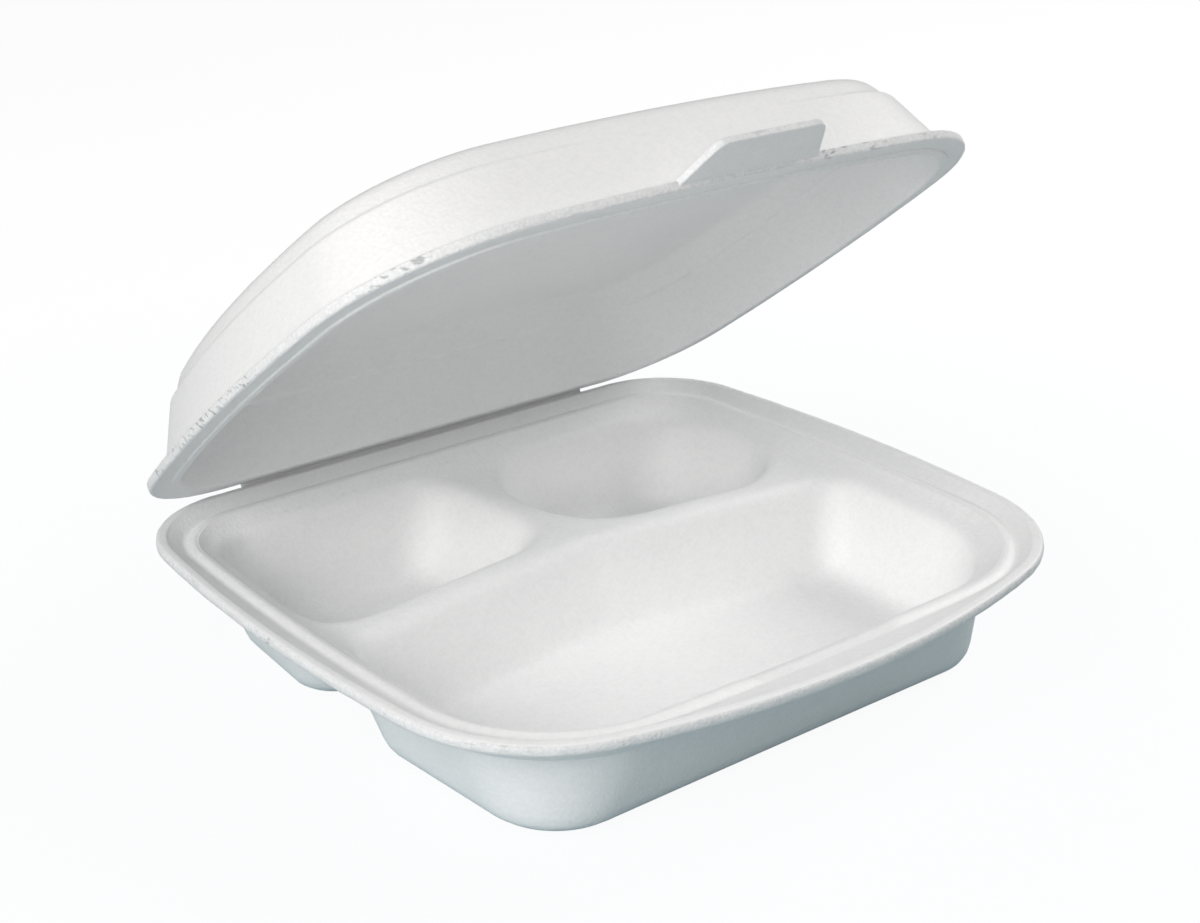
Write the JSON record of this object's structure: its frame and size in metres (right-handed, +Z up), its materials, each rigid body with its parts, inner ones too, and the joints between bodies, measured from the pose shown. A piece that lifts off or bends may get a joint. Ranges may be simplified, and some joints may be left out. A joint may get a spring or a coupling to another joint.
{
  "type": "foam clamshell container",
  "caption": "White foam take-away clamshell with a divided tray, a raised rim ridge, rounded dividers and a domed lid with a thumb tab that folds along the back.",
  "frame": {"origin": "on the table under the middle of the bounding box, in the front compartment just before the divider", "axes": "+X along the fold towards the oval rear compartment, +Y from the thumb tab's side towards the fold, +Z up"},
  "size_m": [0.23, 0.2093, 0.1731],
  "materials": {
    "foam": "satin foam skin with a fine cell texture"
  },
  "bodies": {
    "base": {"base_tray": "foam"},
    "lid": {"lid": "foam"}
  },
  "joints": [
    {"name": "lid_fold", "type": "hinge", "parent": "base", "child": "lid", "pos_m": [0, 0.102, 0.039], "axis": [-1, 0, 0], "range_deg": [-37.2, 142.8]}
  ]
}
